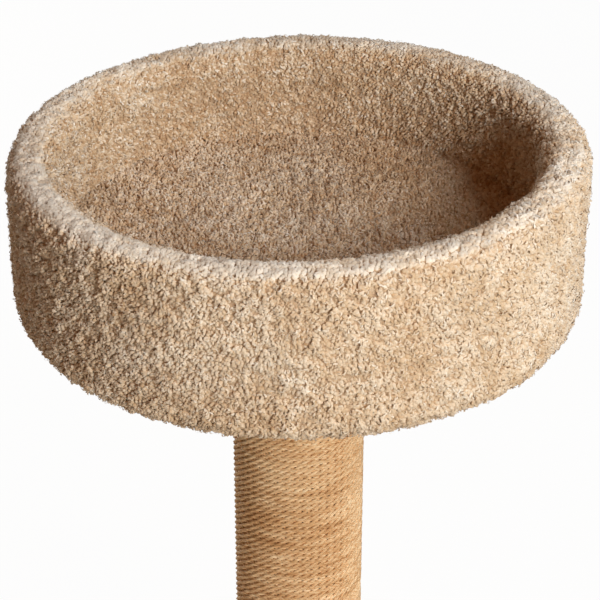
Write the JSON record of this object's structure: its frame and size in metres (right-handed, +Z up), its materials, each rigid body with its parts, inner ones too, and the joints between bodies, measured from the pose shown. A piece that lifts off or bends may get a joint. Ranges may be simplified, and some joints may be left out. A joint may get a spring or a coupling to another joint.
{
  "type": "cat tree",
  "caption": "Free-standing cat tree: a round carpeted bowl bed on a rope-wound scratching post with a carpeted square base on small feet.",
  "frame": {"origin": "on the floor under the middle of the post, at the bottom centre of the part's box", "axes": "+Z up along the post, +X to the right in the picture and -Y towards the camera"},
  "size_m": [0.5, 0.5, 0.813],
  "materials": {
    "carpet": "cut-pile carpet in mixed beige yarns",
    "sisal": "golden-tan twisted sisal rope",
    "wood": "bare pale softwood",
    "tube_board": "plain spiral-wound brown board",
    "steel": "bright zinc-plated steel",
    "foot_plastic": "dark moulded plastic"
  },
  "bodies": {
    "root": {"bed_outer_carpet": "carpet", "bed_inner_carpet": "carpet", "bed_floor_carpet": "carpet", "bed_under_carpet": "carpet", "bed_hoop": "wood", "bed_board": "wood", "hoop_nails": "steel", "post_tube": "tube_board", "post_top_plug": "wood", "post_bottom_plug": "wood", "top_plug_nails": "steel", "bottom_plug_nails": "steel", "sisal_wrap_upper": "sisal", "sisal_rope_turns": "sisal", "sisal_wrap_lower": "sisal", "rope_staples": "steel", "bed_bolt": "steel", "bed_washer": "steel", "bed_tee_nut": "steel", "bed_screws": "steel", "base_bolt": "steel", "base_washer": "steel", "base_tee_nut": "steel", "base_screws": "steel", "base_board": "wood", "base_carpet": "carpet", "base_staples": "steel", "foot_front_left": "foot_plastic", "foot_front_right": "foot_plastic", "foot_back_left": "foot_plastic", "foot_back_right": "foot_plastic", "foot_screws": "steel"}
  },
  "joints": []
}
